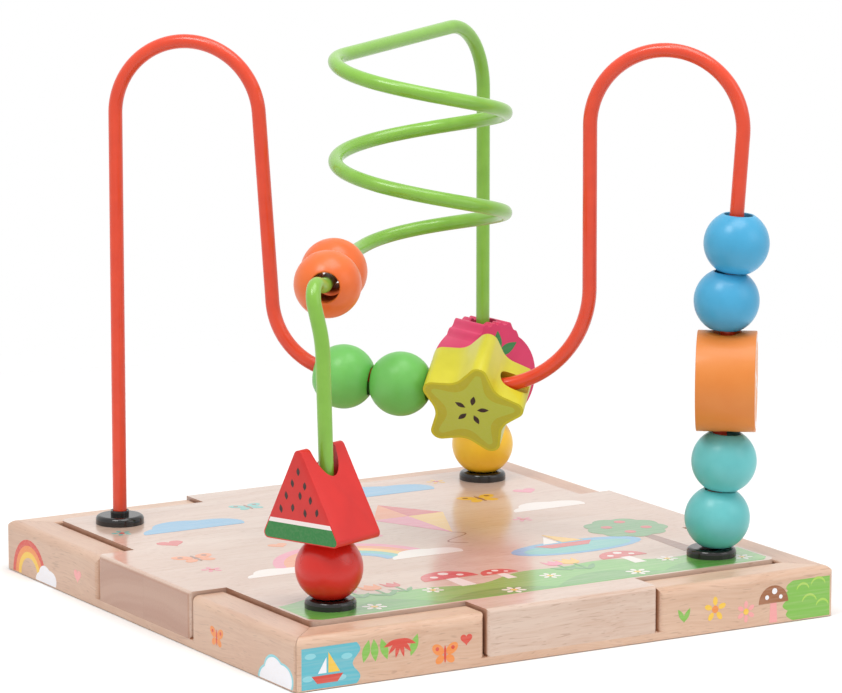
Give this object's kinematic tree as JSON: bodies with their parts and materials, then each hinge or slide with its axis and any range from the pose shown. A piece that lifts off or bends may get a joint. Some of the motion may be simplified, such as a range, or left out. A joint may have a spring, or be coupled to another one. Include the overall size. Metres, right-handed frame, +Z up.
{
  "type": "bead maze",
  "caption": "Square wooden base with two bent coated wires, an arched one and a coiled one, on which painted wooden beads slide and spin; a toddler's bead maze.",
  "frame": {"origin": "middle of the square base's underside, on the table", "axes": "+Z up; -Y towards the front rail; -X towards the left rail; the red wire stands on the left-back and right-front corners, the green wire on the left-front and right-back corners"},
  "size_m": [0.234, 0.234, 0.2167],
  "materials": {
    "rail_wood": "clear satin lacquer",
    "board_wood": "clear gloss lacquer with a printed scene",
    "dowel_wood": "bare",
    "screw_steel": "zinc plated",
    "ferrule_plastic": "moulded gloss",
    "red_wire_coat": "gloss powder coat",
    "green_wire_coat": "gloss powder coat",
    "turquoise_paint": "gloss paint",
    "disc_paint": "gloss paint",
    "blue_paint": "gloss paint",
    "red_paint": "gloss paint",
    "melon_paint": "gloss paint",
    "yellow_paint": "gloss paint",
    "pink_paint": "gloss paint",
    "orange_paint": "gloss paint",
    "green_paint": "gloss paint",
    "star_paint": "gloss paint"
  },
  "bodies": {
    "base": {"front_rail": "rail_wood", "right_rail": "rail_wood", "back_rail": "rail_wood", "left_rail": "rail_wood", "play_board": "board_wood", "corner_dowels": "dowel_wood", "tab_screws": "screw_steel", "front_ferrule": "ferrule_plastic", "right_ferrule": "ferrule_plastic", "back_ferrule": "ferrule_plastic", "left_ferrule": "ferrule_plastic", "red_wire": "red_wire_coat", "green_wire": "green_wire_coat"},
    "turquoise_ball_lower": {"turquoise_ball_lower": "turquoise_paint"},
    "turquoise_ball_upper": {"turquoise_ball_upper": "turquoise_paint"},
    "orange_disc": {"orange_disc": "disc_paint"},
    "blue_ball_lower": {"blue_ball_lower": "blue_paint"},
    "blue_ball_upper": {"blue_ball_upper": "blue_paint"},
    "red_ball": {"red_ball": "red_paint"},
    "melon_wedge": {"melon_wedge": "melon_paint"},
    "yellow_ball": {"yellow_ball": "yellow_paint"},
    "crowned_fruit": {"crowned_fruit": "pink_paint"},
    "orange_ball_front": {"orange_ball_front": "orange_paint"},
    "orange_ball_rear": {"orange_ball_rear": "orange_paint"},
    "green_ball_left": {"green_ball_left": "green_paint"},
    "green_ball_right": {"green_ball_right": "green_paint"},
    "yellow_star": {"yellow_star": "star_paint"}
  },
  "joints": [
    {"name": "turquoise_ball_lower_slide", "type": "slide", "parent": "base", "child": "turquoise_ball_lower", "axis": [0.0469, -0.0469, 0.9978], "range_m": [0, 0.007]},
    {"name": "turquoise_ball_upper_slide", "type": "slide", "parent": "turquoise_ball_lower", "child": "turquoise_ball_upper", "axis": [0.0469, -0.0469, 0.9978], "range_m": [0, 0.007]},
    {"name": "orange_disc_spin", "type": "hinge", "parent": "turquoise_ball_upper", "child": "orange_disc", "pos_m": [0.08737, -0.08737, 0.08869], "axis": [0, 0, 1], "continuous": true},
    {"name": "blue_ball_lower_slide", "type": "slide", "parent": "turquoise_ball_upper", "child": "blue_ball_lower", "axis": [0.0469, -0.0469, 0.9978], "range_m": [0, 0.007]},
    {"name": "blue_ball_upper_slide", "type": "slide", "parent": "blue_ball_lower", "child": "blue_ball_upper", "axis": [0.0469, -0.0469, 0.9978], "range_m": [0, 0.007]},
    {"name": "red_ball_slide", "type": "slide", "parent": "base", "child": "red_ball", "axis": [-0.0217, 0.0128, 0.9997], "range_m": [0, 0.028]},
    {"name": "melon_wedge_spin", "type": "hinge", "parent": "red_ball", "child": "melon_wedge", "pos_m": [-0.08624, -0.08218, 0.04664], "axis": [-0.0217, 0.0128, 0.9997], "continuous": true},
    {"name": "yellow_ball_slide", "type": "slide", "parent": "base", "child": "yellow_ball", "axis": [0, 0, 1], "range_m": [0, 0.09]},
    {"name": "crowned_fruit_spin", "type": "hinge", "parent": "yellow_ball", "child": "crowned_fruit", "pos_m": [0.0837, 0.0837, 0.0647], "axis": [0, 0, 1], "continuous": true},
    {"name": "orange_ball_front_slide", "type": "slide", "parent": "base", "child": "orange_ball_front", "axis": [0.5818, 0.8121, -0.045], "range_m": [0, 0.022]},
    {"name": "orange_ball_rear_slide", "type": "slide", "parent": "orange_ball_front", "child": "orange_ball_rear", "axis": [0.5818, 0.8121, -0.045], "range_m": [0, 0.022]},
    {"name": "green_ball_left_spin", "type": "hinge", "parent": "base", "child": "green_ball_left", "pos_m": [-0.01901, 0.01901, 0.08358], "axis": [0.7019, -0.7019, -0.121], "continuous": true},
    {"name": "green_ball_right_spin", "type": "hinge", "parent": "base", "child": "green_ball_right", "pos_m": [-0.00295, 0.00295, 0.08173], "axis": [0.7064, -0.7064, -0.0436], "continuous": true},
    {"name": "yellow_star_spin", "type": "hinge", "parent": "base", "child": "yellow_star", "pos_m": [0.01783, -0.01783, 0.08349], "axis": [0.7061, -0.7061, 0.0523], "continuous": true}
  ]
}
